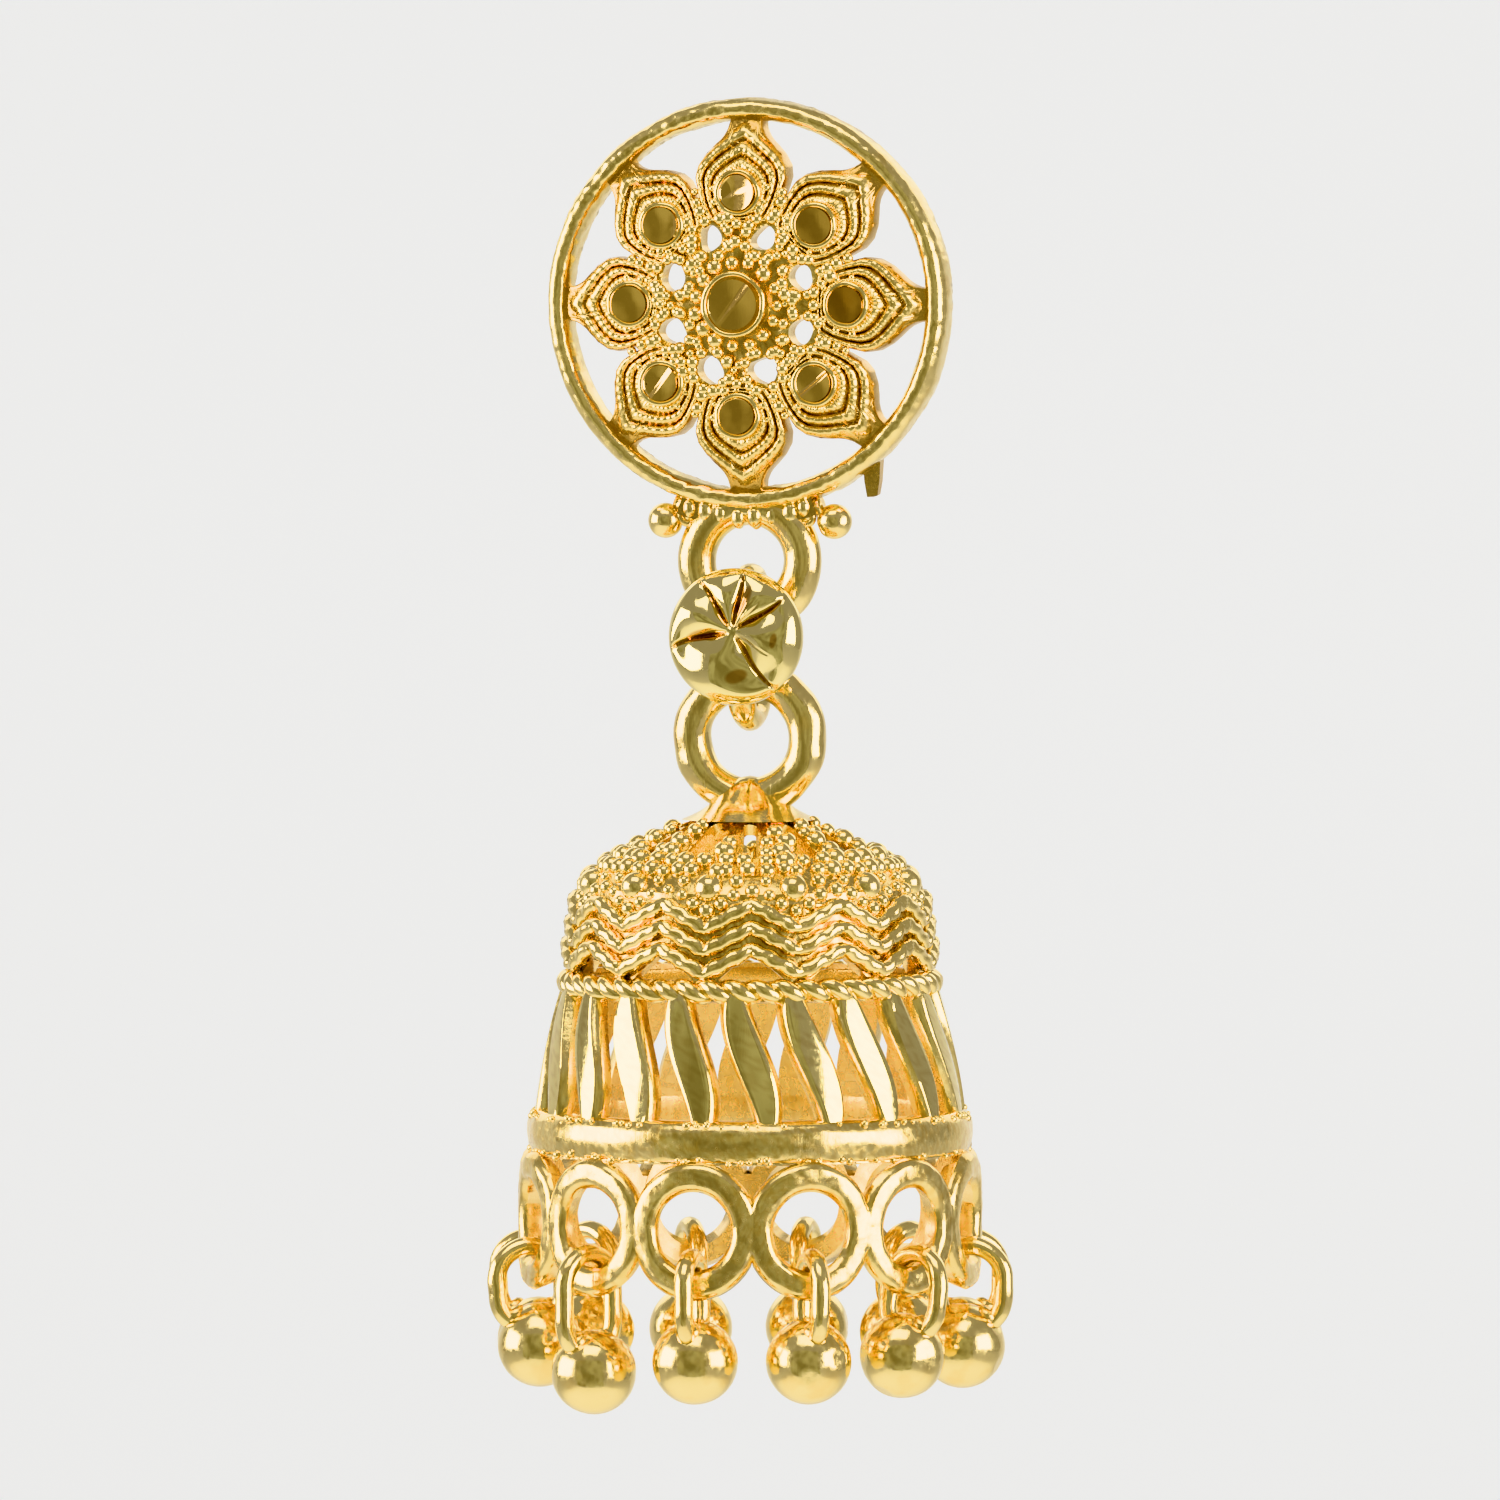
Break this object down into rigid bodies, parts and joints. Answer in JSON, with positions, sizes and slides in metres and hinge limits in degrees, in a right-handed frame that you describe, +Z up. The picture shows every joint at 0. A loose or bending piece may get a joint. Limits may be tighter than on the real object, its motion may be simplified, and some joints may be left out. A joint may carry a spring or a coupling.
{
  "type": "jhumka drop earring",
  "caption": "Gold-tone jhumka earring: pierced rosette stud, flower link and open bell hung with bead drops, on an ear post.",
  "frame": {"origin": "on the ear post's axis, at the back of the rosette stud where it lies against the ear lobe", "axes": "+Z up, the rosette faces -Y, the post points along +Y, the bell hangs down along -Z"},
  "size_m": [0.019, 0.0209, 0.0457],
  "materials": {
    "stud_gold": "gold-plated casting with mirror-cut studs",
    "post_gold": "gold-plated drawn wire",
    "link_gold": "gold-plated, highly polished",
    "bell_gold": "gold-plated pierced casting with mirror-cut slats",
    "drop_gold": "gold-plated balls on wire loops"
  },
  "bodies": {
    "stud": {"rosette_stud": "stud_gold", "ear_post": "post_gold"},
    "link": {"flower_link": "link_gold"},
    "bell": {"bell": "bell_gold", "bead_drop_01": "drop_gold", "bead_drop_02": "drop_gold", "bead_drop_03": "drop_gold", "bead_drop_04": "drop_gold", "bead_drop_05": "drop_gold", "bead_drop_06": "drop_gold", "bead_drop_07": "drop_gold", "bead_drop_08": "drop_gold", "bead_drop_09": "drop_gold", "bead_drop_10": "drop_gold", "bead_drop_11": "drop_gold", "bead_drop_12": "drop_gold"}
  },
  "joints": [
    {"name": "link_swing", "type": "hinge", "parent": "stud", "child": "link", "pos_m": [0, -0.0009, -0.01092], "axis": [1, 0, 0], "range_deg": [-30, 75]},
    {"name": "bell_sway", "type": "hinge", "parent": "link", "child": "bell", "pos_m": [0, -0.0009, -0.01448], "axis": [0, 1, 0], "range_deg": [-45, 45]}
  ]
}
